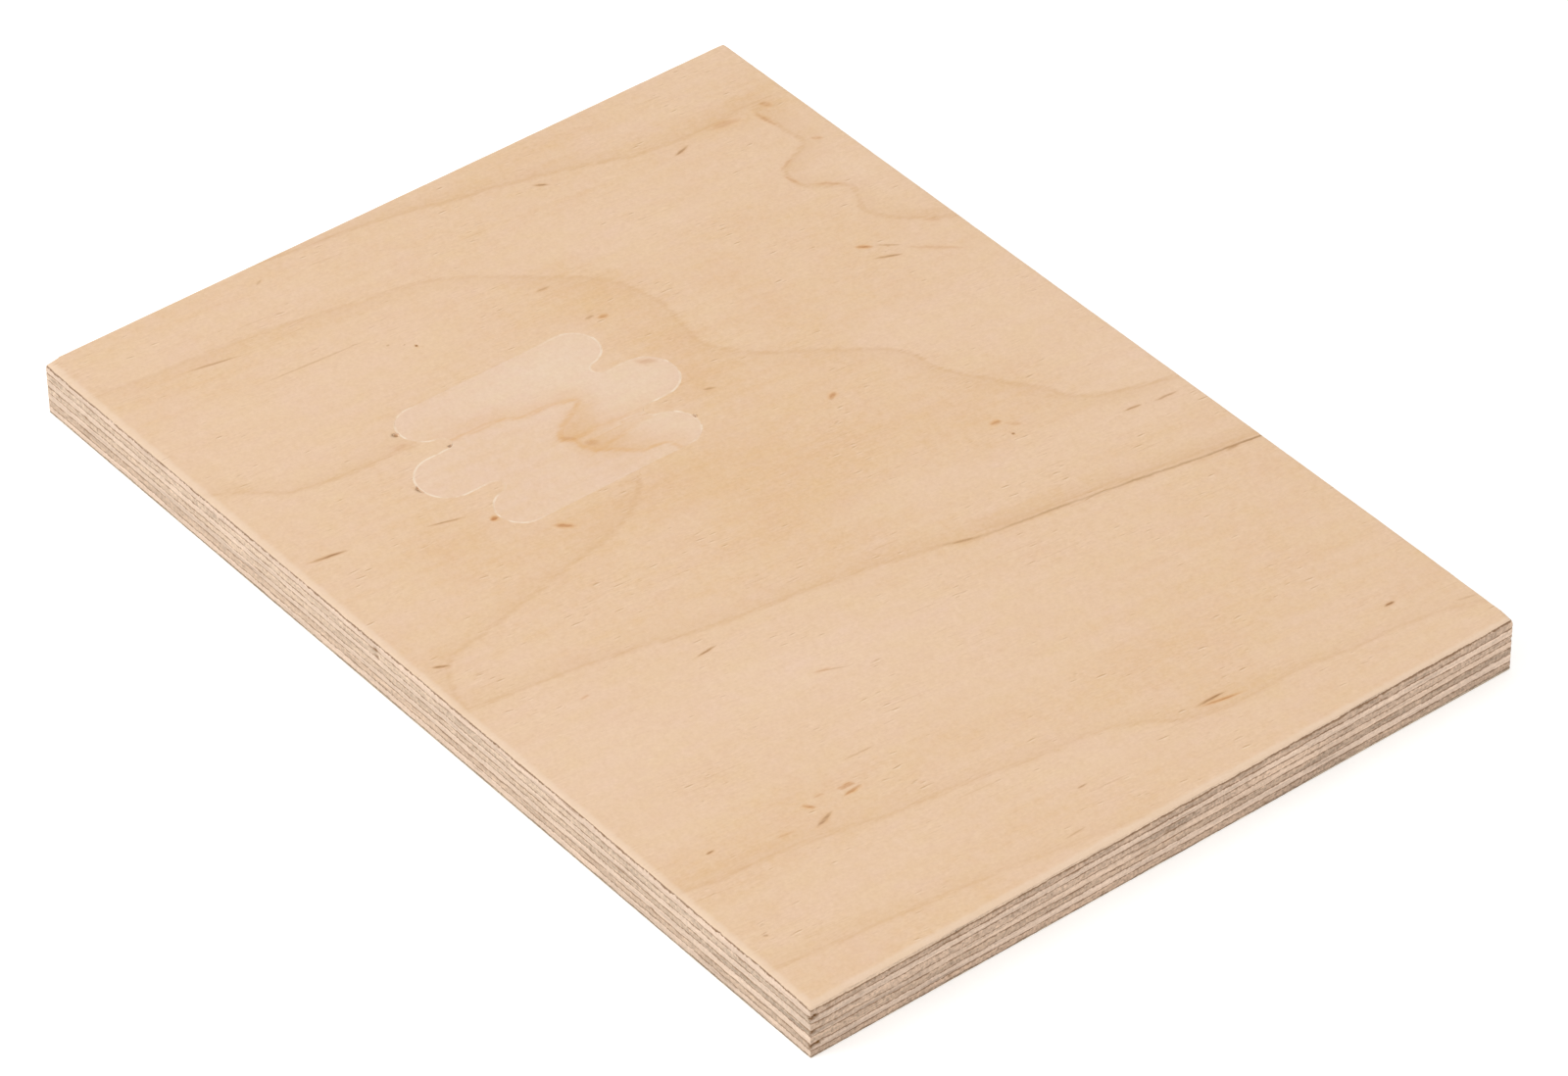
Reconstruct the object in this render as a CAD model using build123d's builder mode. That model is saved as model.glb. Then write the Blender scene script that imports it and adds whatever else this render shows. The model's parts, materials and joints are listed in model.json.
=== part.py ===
from build123d import *
import os
from math import cos, radians, sin, sqrt

# A small cut sheet of birch plywood, lying flat. Nine veneers are glued face to
# face, their grain turned by a quarter from one to the next, and a die-cut plug
# of sound veneer is let into the face where a knot was.
#
# Millimetres. Origin at the middle of the underside, +Z up. X runs along the
# sheet, across the face grain, and Y runs along the face grain. The near corner,
# the sharp one, is at +X and -Y.

os.makedirs("parts", exist_ok=True)

# Sheet
length = 297.0
width = 210.0
thickness = 15.0

# Veneers. Sanding thins the two outer ones, and the seven inner ones share the rest.
face_thickness = 0.55
back_thickness = 0.73
inner_names = [
    "crossband_4",
    "longband_2",
    "crossband_3",
    "core_veneer",
    "crossband_2",
    "longband_1",
    "crossband_1",
]
inner_thickness = (thickness - face_thickness - back_thickness) / len(inner_names)

# Edges. Handling has worn three of the upright corners, most of all at the face, and
# the face's arris is sanded off. Corners by side along X and along Y, then radii.
worn_corners = [(-1, -1), (-1, 1), (1, 1)]
inner_radii = [0.5, 0.5, 1.2]
first_radii = [1.3, 0.5, 1.2]
face_radii = [2.6, 0.8, 1.6]
arris_run = 1.3
arris_drop = 0.4

# Splinters torn out of the near corner, where the grain runs out along Y: how far
# each one reaches along Y, how deep it goes along X, how high it is, and how far
# its middle lies above the underside of its veneer.
splinter_depth = 0.8
splinter_height = 0.9
splinters = {
    "longband_1": (2.6, 1.4),
    "core_veneer": (1.4, 1.0),
    "longband_2": (4.0, 1.1),
}

# Nick worn into the right corner at the second crossband, as far in as nick_reach
# from the square corner, and a short check in the end grain of the first crossband.
nick_reach = 1.4
nick_height = 0.5
nick_above = 0.3
check_y = 63.0
check_width = 0.5
check_height = 1.2
check_reach = 6.0

# Repair plug: three round-ended strips side by side, cut in one piece. Measures
# run along Y (lengths) and along X (widths).
plug_x = -51.2
plug_y = -25.3
middle_length = 76.2
middle_width = 16.6
outer_length = 59.0
outer_width = 14.0
plug_width = 53.6
neck_radius = 2.28
plug_gap = 0.08

# Open spots left beside the plug's lobes: place on the sheet, then the lengths
# along X and along Y.
open_spots = [
    ((-71.6, -55.5), (1.5, 1.6)),
    ((-51.3, -63.4), (2.8, 1.1)),
    ((-60.0, -47.9), (0.9, 1.4)),
    ((-32.1, 4.4), (1.1, 0.9)),
]


def sheet_outline(radii):
    """One veneer's outline, square at the near corner and worn round at the others."""
    with BuildSketch() as outline:
        Rectangle(length, width)
        for (side_x, side_y), radius in zip(worn_corners, radii):
            toward_corner = Axis((0, 0, 0), (side_x, side_y, 0))
            fillet(outline.vertices().sort_by(toward_corner)[-1], radius)
    return outline.sketch


def plug_outline():
    """The plug's outline. One quarter is drawn, then mirrored across both axes."""
    side = plug_width / 2
    outer_radius = outer_width / 2
    outer_x = side - outer_radius
    outer_y = outer_length / 2 - outer_radius
    middle_radius = middle_width / 2
    middle_y = middle_length / 2 - middle_radius

    # The neck's circle touches the outer lobe and the straight side of the middle one.
    neck_x = middle_radius + neck_radius
    neck_rise = sqrt((outer_radius + neck_radius) ** 2 - (outer_x - neck_x) ** 2)
    neck_y = outer_y + neck_rise
    toward_neck = Vector(neck_x - outer_x, neck_rise).normalized()
    touch = Vector(outer_x, outer_y) + toward_neck * outer_radius
    middle_bulge = middle_radius * cos(radians(45))

    with BuildSketch() as outline:
        with BuildLine():
            Line((side, 0), (side, outer_y))
            ThreePointArc((side, outer_y), (outer_x, outer_y + outer_radius), touch)
            ThreePointArc(touch, (neck_x, neck_y - neck_radius), (middle_radius, neck_y))
            Line((middle_radius, neck_y), (middle_radius, middle_y))
            ThreePointArc(
                (middle_radius, middle_y),
                (middle_bulge, middle_y + middle_bulge),
                (0, middle_y + middle_radius),
            )
            mirror(about=Plane.YZ)
            mirror(about=Plane.XZ)
        make_face()
    return outline.sketch


def splinter_outline(reach):
    """Plan of one splinter: a thin wedge that runs in from the near corner along Y."""
    corner = (length / 2, -width / 2)
    with BuildSketch() as outline:
        with BuildLine():
            Polyline(
                corner,
                (length / 2, -width / 2 + reach),
                (length / 2 - splinter_depth, -width / 2),
                close=True,
            )
        make_face()
    return outline.sketch


inner_outline = sheet_outline(inner_radii)
first_outline = sheet_outline(first_radii)
face_outline = sheet_outline(face_radii)
plug_shape = plug_outline()
face_bottom = thickness - face_thickness

# Back veneer, long grain, plain
with BuildPart() as back_veneer:
    with BuildSketch():
        add(inner_outline)
    extrude(amount=back_thickness)

back_veneer.part.label = "back_veneer"
export_step(back_veneer.part, "parts/back_veneer.step")

# Inner veneers, from the back up. The nick, the check and the splinters belong to
# single veneers and are cut from the one that shows them.
for number, name in enumerate(inner_names):
    bottom = back_thickness + number * inner_thickness
    with BuildPart() as veneer:
        with BuildSketch(Plane.XY.offset(bottom)):
            add(first_outline if name == "crossband_1" else inner_outline)
        extrude(amount=inner_thickness)

        if name in splinters:
            reach, above = splinters[name]
            with BuildSketch(Plane.XY.offset(bottom + above - splinter_height / 2)):
                add(splinter_outline(reach))
            extrude(amount=splinter_height, mode=Mode.SUBTRACT)

        if name == "crossband_2":
            with BuildSketch(Plane.XY.offset(bottom + nick_above)):
                with Locations((length / 2, width / 2)):
                    Rectangle(4 * nick_reach, 2 * nick_reach, rotation=-45)
            extrude(amount=nick_height, mode=Mode.SUBTRACT)

        if name == "crossband_1":
            with BuildSketch(Plane.XY.offset(bottom + (inner_thickness - check_height) / 2)):
                with Locations((length / 2 - check_reach / 2, check_y)):
                    Rectangle(check_reach, check_width)
            extrude(amount=check_height, mode=Mode.SUBTRACT)

    veneer.part.label = name
    export_step(veneer.part, f"parts/{name}.step")

# Face veneer, with its sanded arris and the hole that the repair cutter left
with BuildPart() as face_veneer:
    with BuildSketch(Plane.XY.offset(face_bottom)):
        Rectangle(length, width)
    extrude(amount=face_thickness)
    top_face = face_veneer.faces().sort_by(Axis.Z)[-1]
    chamfer(top_face.edges(), length=arris_run, length2=arris_drop, reference=top_face)
    with BuildSketch(Plane.XY.offset(face_bottom)):
        add(face_outline)
    extrude(amount=face_thickness, mode=Mode.INTERSECT)
    with BuildSketch(Plane.XY.offset(face_bottom)):
        with Locations((plug_x, plug_y)):
            add(plug_shape)
        for (spot_x, spot_y), (spot_width, spot_length) in open_spots:
            with Locations((spot_x, spot_y)):
                Ellipse(spot_width / 2, spot_length / 2)
    extrude(amount=face_thickness, mode=Mode.SUBTRACT)

face_veneer.part.label = "face_veneer"
export_step(face_veneer.part, "parts/face_veneer.step")

# Repair plug, let in flush, a hair smaller than its hole
with BuildPart() as repair_plug:
    with BuildSketch(Plane.XY.offset(face_bottom)):
        with Locations((plug_x, plug_y)):
            add(plug_shape)
        offset(amount=-plug_gap)
    extrude(amount=face_thickness)

repair_plug.part.label = "repair_plug"
export_step(repair_plug.part, "parts/repair_plug.step")
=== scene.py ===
import bmesh
import bpy
import json
import math
import numpy as np
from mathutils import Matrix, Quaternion, Vector, noise

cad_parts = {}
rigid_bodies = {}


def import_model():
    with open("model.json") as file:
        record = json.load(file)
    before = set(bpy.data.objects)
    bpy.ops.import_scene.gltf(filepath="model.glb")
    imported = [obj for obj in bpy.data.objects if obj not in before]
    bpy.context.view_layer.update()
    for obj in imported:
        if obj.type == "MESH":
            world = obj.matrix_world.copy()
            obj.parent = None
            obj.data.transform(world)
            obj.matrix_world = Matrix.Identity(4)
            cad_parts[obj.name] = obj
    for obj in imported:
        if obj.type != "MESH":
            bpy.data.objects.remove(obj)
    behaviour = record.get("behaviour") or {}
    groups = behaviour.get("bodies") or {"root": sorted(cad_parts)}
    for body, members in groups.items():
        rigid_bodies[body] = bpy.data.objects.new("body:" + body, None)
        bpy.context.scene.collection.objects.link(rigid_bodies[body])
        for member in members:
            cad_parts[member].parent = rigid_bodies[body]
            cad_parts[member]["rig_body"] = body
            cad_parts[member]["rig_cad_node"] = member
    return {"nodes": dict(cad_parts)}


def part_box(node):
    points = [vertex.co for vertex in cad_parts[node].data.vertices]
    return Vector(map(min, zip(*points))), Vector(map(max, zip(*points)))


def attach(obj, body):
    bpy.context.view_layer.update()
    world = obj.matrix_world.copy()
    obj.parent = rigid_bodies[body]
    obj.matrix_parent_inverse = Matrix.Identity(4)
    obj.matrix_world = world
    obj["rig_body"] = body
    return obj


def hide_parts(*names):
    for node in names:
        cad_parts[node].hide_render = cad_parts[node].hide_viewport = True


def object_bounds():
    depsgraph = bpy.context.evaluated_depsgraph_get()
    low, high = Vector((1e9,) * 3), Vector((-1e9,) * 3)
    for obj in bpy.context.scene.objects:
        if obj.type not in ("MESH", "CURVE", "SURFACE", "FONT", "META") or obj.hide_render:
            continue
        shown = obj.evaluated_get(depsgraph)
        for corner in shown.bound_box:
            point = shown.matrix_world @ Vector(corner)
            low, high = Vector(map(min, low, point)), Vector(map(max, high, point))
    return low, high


# A small cut sheet of birch plywood with a repair plug in its face. Lengths named
# here are in millimetres and turned to metres where a mesh takes them. As in the
# solids, X runs across the face grain and Y along it, and the sharp near corner
# is at +X and -Y.

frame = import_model()
cad_low, cad_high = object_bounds()
mm = 0.001

# Camera. The photograph was taken with a long lens from about 1.8 m away, looking
# down on the near corner. Angles and distance come from the sheet's outline.
view_heading = math.radians(141.877)
view_fall = math.radians(39.278)
view_roll = math.radians(-0.762)
view_target = Vector((10.51, -2.23, 7.5)) * mm
view_distance = 1785.6 * mm

look = Vector((
    math.cos(view_fall) * math.cos(view_heading),
    math.cos(view_fall) * math.sin(view_heading),
    -math.sin(view_fall),
))
camera_data = bpy.data.cameras.new("camera")
camera_data.lens = 172.94
camera_data.sensor_width = 36.0
camera_data.clip_end = 20.0
camera = bpy.data.objects.new("camera", camera_data)
bpy.context.scene.collection.objects.link(camera)
bpy.context.scene.camera = camera
camera.location = view_target - look * view_distance
camera.rotation_mode = "QUATERNION"
camera.rotation_quaternion = look.to_track_quat("-Z", "Y") @ Quaternion((0, 0, 1), view_roll)

# The stack. Veneers of rotary-peeled birch are laid with their grain crossed and
# pressed hot with glue, so the glue lines wave a little. The panel saw trimmed all
# four edges, and handling has rounded three of the four upright corners.
stack = [
    "back_veneer", "crossband_4", "longband_2", "crossband_3", "core_veneer",
    "crossband_2", "longband_1", "crossband_1", "face_veneer",
]
sheet_high = cad_high / mm
half_length = sheet_high.x
half_width = sheet_high.y
thickness = sheet_high.z
glue_heights = [0.0] + [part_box(name)[1].z / mm for name in stack]

# Each upright corner by its sides along X and Y: its radius, then how far along the
# face its wear reaches, how deep it goes, how much it takes and how far the face
# droops there. The near corner is still square.
corner_shapes = {
    (1, -1): (0.35, 1.0, 0.1, 0.0, 0.0),
    (-1, -1): (0.5, 4.2, 1.7, 1.3, 0.35),
    (-1, 1): (0.5, 2.0, 0.6, 0.3, 0.05),
    (1, 1): (1.2, 3.0, 1.4, 0.7, 0.25),
}

# Heights of the eight glue lines at places round the rim, from the left corner along
# the two near edges to the right corner. The presses squeezed the veneers unevenly.
# The two hidden edges are even.
glue_rim = [
    (-148.5, -105, (0.50, 2.43, 4.38, 6.40, 8.35, 10.42, 12.52, 14.45)),
    (-82, -105, (0.55, 2.46, 4.70, 6.54, 8.53, 10.43, 12.46, 14.40)),
    (-27, -105, (0.65, 2.81, 4.92, 6.57, 8.68, 10.38, 12.54, 14.52)),
    (29, -105, (0.62, 2.79, 4.74, 6.68, 8.58, 10.47, 12.62, 14.62)),
    (84, -105, (0.60, 2.70, 4.61, 6.66, 8.61, 10.41, 12.57, 14.62)),
    (139, -105, (0.55, 2.53, 4.51, 6.59, 8.30, 10.43, 12.30, 14.60)),
    (148.5, -105, (0.50, 2.35, 4.25, 6.45, 8.05, 10.25, 12.12, 14.25)),
    (148.5, -98, (0.45, 2.14, 3.98, 6.32, 7.81, 10.05, 11.94, 13.9)),
    (148.5, -58, (0.45, 2.41, 4.22, 6.38, 8.09, 10.25, 12.01, 13.98)),
    (148.5, -20, (0.48, 2.57, 4.44, 6.42, 8.39, 10.37, 12.19, 14.2)),
    (148.5, 20, (0.48, 2.55, 4.50, 6.52, 8.37, 10.44, 12.19, 14.28)),
    (148.5, 58, (0.60, 2.65, 4.66, 6.63, 8.49, 10.46, 12.42, 14.55)),
    (148.5, 98, (0.80, 2.87, 5.00, 6.95, 8.73, 10.59, 12.57, 14.72)),
    (100, 105, glue_heights[1:9]),
    (-148.5, 60, glue_heights[1:9]),
]
# How far sanding has also rounded the top of the rim, at places round it. It starts
# rounded_from millimetres above the underside, and is full rounded_over higher.
rim_wear = [
    (-148.5, -105, 0.0), (-60, -105, 0.0), (-27, -105, 0.14), (29, -105, 0.24), (140, -105, 0.24),
    (148.5, -104, 0.05), (148.5, -45, 0.0), (148.5, -10, 0.1), (148.5, 25, 0.22),
    (148.5, 60, 0.42), (148.5, 98, 0.55), (100, 105, 0.1), (-148.5, 60, 0.1),
]
rounded_from = 13.3
rounded_over = 1.4
# The eased arris. It is full size within near_margin of the two near edges.
arris_run = 1.7
arris_drop = 0.24
near_margin = 4
far_share = 0.45
least_rim = 0.07


def wave(x, y, seed, size):
    """A smooth random value between about -1 and 1, changing over size millimetres."""
    return noise.noise(Vector((x / size, y / size, seed * 7.31)))


def corner_distance(x, y):
    """How far a point is from the nearest corner that the sheet would have if square."""
    return math.hypot(half_length - abs(x), half_width - abs(y))


def near_corner(x, y):
    """True around the sharp corner that faces the camera."""
    return x > 0 > y


def corner_shape(x, y):
    """The shape of the upright corner nearest to a point."""
    return corner_shapes[1 if x > 0 else -1, 1 if y > 0 else -1]


def corner_wear(x, y, depth):
    """How far handling has worn a corner back, at a depth below the face."""
    _, reach, deep, most, _ = corner_shape(x, y)
    nearness = max(0.0, 1 - corner_distance(x, y) / reach)
    level = 1 - min(1.0, max(0.0, depth / deep))
    return most * nearness * (1 - math.sqrt(1 - level ** 2))


def face_drop(x, y, inside):
    """How far the sanded arris lies below the face, inside millimetres from the edge.
    It is widest along the two near edges."""
    _, reach, _, _, droop = corner_shape(x, y)
    corner = max(0.0, 1 - corner_distance(x, y) / reach)
    eased = 1.0 if half_length - x < near_margin or half_width + y < near_margin else far_share
    run = arris_run * eased * (1 + 0.22 * wave(x, y, 3, 14)) + 1.5 * corner
    drop = arris_drop * eased * (1 + 0.25 * wave(x, y, 5, 9)) + droop * corner
    return drop * max(0.0, 1 - inside / run) ** 2


def rim_length(x, y):
    """How far round the rim a place is, from the left corner past the near one."""
    gaps = (half_width + y, half_length - x, half_width - y, half_length + x)
    # Rounded, so that a corner counts to the same side whichever way it was worked out
    gaps = [round(gap, 3) for gap in gaps]
    side = gaps.index(min(gaps))
    if side == 0:
        return half_length + x
    if side == 1:
        return 2 * half_length + half_width + y
    if side == 2:
        return 2 * half_length + 2 * half_width + half_length - x
    return 4 * half_length + 2 * half_width + half_width - y


whole_rim = 4 * (half_length + half_width)
rim_lengths = [rim_length(x, y) for x, y, _ in glue_rim] + [whole_rim]
rim_heights = [[heights[line] for _, _, heights in glue_rim + glue_rim[:1]] for line in range(8)]
wear_lengths = [rim_length(x, y) for x, y, _ in rim_wear] + [whole_rim]
wear_depths = [depth for _, _, depth in rim_wear + rim_wear[:1]]
# How much lower the lines are then set, the lowest one by half as much
glue_sink = 0.2


def glue_height(line, x, y):
    """Height of a glue line at the rim. Line 0 is the underside."""
    if line == 0:
        return 0.0
    height = np.interp(rim_length(x, y), rim_lengths, rim_heights[line - 1])
    height -= glue_sink * min(1, line / 2)
    height += 0.12 * wave(x, y, line, 17) + 0.16 * wave(x, y, line + 20, 4.5)
    height += 0.12 * wave(x, y, line + 40, 1.6)
    if line < len(stack) - 1:
        return height
    return min(height, thickness - face_drop(x, y, 0) - least_rim)


def outward(x, y):
    """Direction square to the outline at a rim point."""
    radius = corner_shape(x, y)[0]
    across = abs(x) - (half_length - radius)
    along = abs(y) - (half_width - radius)
    if across > 0 and along > 0:
        return Vector((math.copysign(across, x), math.copysign(along, y), 0)).normalized()
    if half_length - abs(x) < half_width - abs(y):
        return Vector((math.copysign(1, x), 0, 0))
    return Vector((0, math.copysign(1, y), 0))

# Splinters torn from the near corner: middle height, half height, reach along the
# right edge, reach along the left edge, depth.
splinters = [
    (11.55, 0.7, 2.7, 1.1, 0.8), (7.35, 0.6, 1.6, 1.0, 0.8), (3.3, 0.55, 4.2, 1.2, 0.7),
]
# The nick in the right corner and the check in the end grain of crossband_1: height or
# place, half size, depth, and how far from the corner the nick reaches.
nick_height, nick_half, nick_depth, nick_reach = 9.15, 0.45, 1.3, 3.5
check_y, check_half, check_depth = 63.0, 0.45, 0.9


def splinter_depth(x, y, z):
    """How deep a torn splinter is at a rim point, and 0 away from all of them."""
    if not near_corner(x, y):
        return 0.0
    right, left = y + half_width, half_length - x
    deepest = 0.0
    for middle, half_height, reach_right, reach_left, depth in splinters:
        ragged = 1 + 0.35 * noise.noise(Vector((right * 1.7, left * 1.7, z * 1.7)))
        level = 1 - abs(z - middle - 0.12 * right) / (half_height * ragged)
        run = 1 - right / (reach_right * ragged) - left / (reach_left * ragged)
        if level > 0 and run > 0:
            deepest = max(deepest, depth * min(1.0, 2 * level) * min(1.0, 1.6 * run))
    return deepest


# Small dark knocks and torn pores on the two near edges: place, how far each reaches
# along the edge and how strong it is
knocks = [
    (-131.7, -105, 8.3, 0.9, 0.5), (-125.7, -105, 8.3, 0.7, 0.35), (-144.8, -105, 11.2, 1.6, 0.3),
    (-12.8, -105, 12.5, 1.4, 0.5), (-12.5, -105, 10.7, 1.5, 0.45), (-31.9, -105, 4.3, 0.9, 0.45),
    (54.4, -105, 11.7, 0.7, 0.4), (91.7, -105, 4.5, 0.9, 0.4), (18.5, -105, 7.0, 0.9, 0.3),
    (34, -105, 14.4, 1.2, 0.35), (116, -105, 14.5, 1.0, 0.35), (-104, -105, 14.4, 1.6, 0.3),
    (148.5, -65.3, 1.6, 0.9, 0.6), (148.5, -26.4, 9.1, 0.8, 0.5), (148.5, -1.5, 8.9, 1.3, 0.4),
    (148.5, -91, 11.7, 1.4, 0.35), (148.5, -20.5, 1.2, 0.7, 0.4), (148.5, -3, 14.3, 0.8, 0.4),
    (148.5, 28, 1.0, 1.2, 0.35), (148.5, -57.5, 9.0, 1.2, 0.4), (148.5, -66, 12.3, 1.5, 0.35),
]


def knock_strength(x, y, z):
    """How dark a rim point is from the knocks around it."""
    strongest = 0.0
    for knock_x, knock_y, knock_z, reach, strength in knocks:
        if max(abs(x - knock_x), abs(y - knock_y)) < reach:
            away = math.hypot((x - knock_x) + (y - knock_y), 1.6 * (z - knock_z)) / reach
            strongest = max(strongest, strength * max(0.0, 1 - away) * 1.8)
    return min(1.0, strongest)


def rim_recess(x, y, z, border, end_grain):
    """How far a rim point lies inside the true outline: saw and fibre marks, the small
    hollow at each glue line, wear and torn splinters. border runs from 0 in the middle
    of a veneer's thickness to 1 at its glue lines."""
    if end_grain:
        fibres = 0.035 * noise.noise(Vector((x * 1.1, y * 1.1, z * 1.3)))
        fibres += 0.025 * noise.noise(Vector((x * 2.6, y * 2.6, z * 2.9)))
    else:
        fibres = 0.03 * noise.noise(Vector((x * 0.16, y * 0.16, z * 2.2)))
        fibres += 0.02 * noise.noise(Vector((x * 0.7, y * 0.7, z * 3.5)))
    sawing = 0.04 * wave(x, y, 11, 45)
    recess = 0.09 + fibres + sawing + 0.09 * border ** 3
    recess += corner_wear(x, y, thickness - z) + splinter_depth(x, y, z)
    recess += 0.25 * knock_strength(x, y, z)
    rounded = min(1.0, max(0.0, (z - rounded_from) / rounded_over)) ** 2
    worn = np.interp(rim_length(x, y), wear_lengths, wear_depths)
    recess += rounded * (1 + 0.3 * wave(x, y, 13, 6)) * worn
    if x > 0 and y > 0:
        nearness = max(0.0, 1 - corner_distance(x, y) / nick_reach)
        recess += nearness * nick_depth * max(0.0, 1 - abs(z - nick_height) / nick_half)
    in_first = glue_heights[7] + 0.35 < z < thickness - 0.8
    if x > half_length - 1 and end_grain and in_first:
        recess += check_depth * max(0.0, 1 - abs(y - check_y) / check_half)
    return recess


def choose(piece, kind, wanted):
    """In edit mode, leaves only the wanted faces, edges or vertices selected."""
    bpy.ops.mesh.select_mode(type=kind)
    bpy.ops.mesh.select_all(action="DESELECT")
    work = bmesh.from_edit_mesh(piece.data)
    elements = {"VERT": work.verts, "EDGE": work.edges, "FACE": work.faces}[kind]
    for element in elements:
        if wanted(element):
            element.select_set(True)
    bmesh.update_edit_mesh(piece.data)


def edge_runs(edge, axis, least):
    """True for an edge that lies along one axis and is longer than least millimetres."""
    run = (edge.verts[0].co - edge.verts[1].co) / mm
    others = [abs(run[i]) for i in range(3) if i != axis]
    return abs(run[axis]) > least and max(others) < 0.001


def named(name):
    """Names the piece just made, and its mesh, after the node it stands for."""
    piece = bpy.context.object
    piece.name = f"{name}_piece"
    piece.data.name = piece.name
    return piece


def pick(piece):
    """Makes a piece the active one, and the only one selected."""
    bpy.ops.object.select_all(action="DESELECT")
    piece.select_set(True)
    bpy.context.view_layer.objects.active = piece


def smooth(piece):
    """Smooths a piece's shading, except over edges sharper than 40 degrees."""
    pick(piece)
    bpy.ops.object.shade_smooth_by_angle(angle=math.radians(40))


def close_up():
    """Turns all faces outward and leaves edit mode."""
    bpy.ops.mesh.select_all(action="SELECT")
    bpy.ops.mesh.normals_make_consistent(inside=False)
    bpy.ops.object.mode_set(mode="OBJECT")


def set_attribute(piece, name, values):
    """Stores one number for each vertex, for the materials to read."""
    attributes = piece.data.attributes
    attribute = attributes.get(name) or attributes.new(name, "FLOAT", "POINT")
    attribute.data.foreach_set("value", np.asarray(values, dtype=np.float32))


def linear(hex_colour):
    """An sRGB hex colour as the linear values that a shader takes."""
    parts = [int(hex_colour[i:i + 2], 16) / 255 for i in (1, 3, 5)]
    return [c / 12.92 if c <= 0.04045 else ((c + 0.055) / 1.055) ** 2.4 for c in parts] + [1.0]


def add_node(tree, kind, inputs=None, **settings):
    """Adds a shader node with its settings. An input is a value, or a node or socket
    that feeds it."""
    made = tree.nodes.new(f"ShaderNode{kind}")
    for name, value in settings.items():
        setattr(made, name, value)
    for socket, value in (inputs or {}).items():
        if isinstance(value, bpy.types.Node):
            value = next(out for out in value.outputs if out.enabled)
        if isinstance(value, bpy.types.NodeSocket):
            tree.links.new(value, made.inputs[socket])
        else:
            made.inputs[socket].default_value = value
    return made


def empty_tree(holder):
    """A material's or a world's node tree, emptied."""
    holder.use_nodes = True
    holder.node_tree.nodes.clear()
    return holder.node_tree


def calc(tree, operation, *values, **settings):
    """A sum on numbers, nodes or sockets."""
    return add_node(tree, "Math", dict(enumerate(values)), operation=operation, **settings)


def layered(tree, start, *patterns):
    """Adds patterns up, each by its weight, from a start value."""
    for pattern, weight in patterns:
        start = calc(tree, "MULTIPLY_ADD", pattern, weight, start)
    return start


def times(tree, vector, factors):
    """A place or a colour multiplied, part by part."""
    return add_node(tree, "VectorMath", {0: vector, 1: factors}, operation="MULTIPLY")


def texture(tree, place, scale=1.0, detail=2.0, roughness=0.5, seed=None):
    """Soft noise, mostly between 0.3 and 0.7. With a seed, its pattern is its own."""
    inputs = {"Vector": place, "Scale": scale, "Detail": detail, "Roughness": roughness}
    if seed is None:
        return add_node(tree, "TexNoise", inputs)
    return add_node(tree, "TexNoise", {**inputs, "W": seed}, noise_dimensions="4D")


def ramp(tree, value, low, high, at_low=0.0, at_high=1.0, curve="SMOOTHSTEP"):
    """Runs from at_low to at_high as the value goes from low to high."""
    ends = {"From Min": low, "From Max": high, "To Min": at_low, "To Max": at_high}
    return add_node(tree, "MapRange", {"Value": value, **ends}, interpolation_type=curve)


def blend(tree, amount, under, over):
    """One colour over another, by an amount from 0 to 1."""
    return add_node(tree, "Mix", {0: amount, 6: under, 7: over}, data_type="RGBA").outputs[2]


def stored(tree, name, output="Fac"):
    """A value stored in the mesh's vertices."""
    return add_node(tree, "Attribute", attribute_name=name).outputs[output]


def wood_surface(tree, colour, roughness, shine, fibres, strength, height):
    """Ends a wood material: its surface, with the finest fibres as a bump."""
    bump = {"Height": fibres, "Strength": strength, "Distance": height * mm}
    surface = add_node(tree, "BsdfPrincipled", {
        "Base Color": colour, "Roughness": roughness, "Specular IOR Level": shine,
        "Normal": add_node(tree, "Bump", bump),
    })
    add_node(tree, "OutputMaterial", {"Surface": surface})


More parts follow.
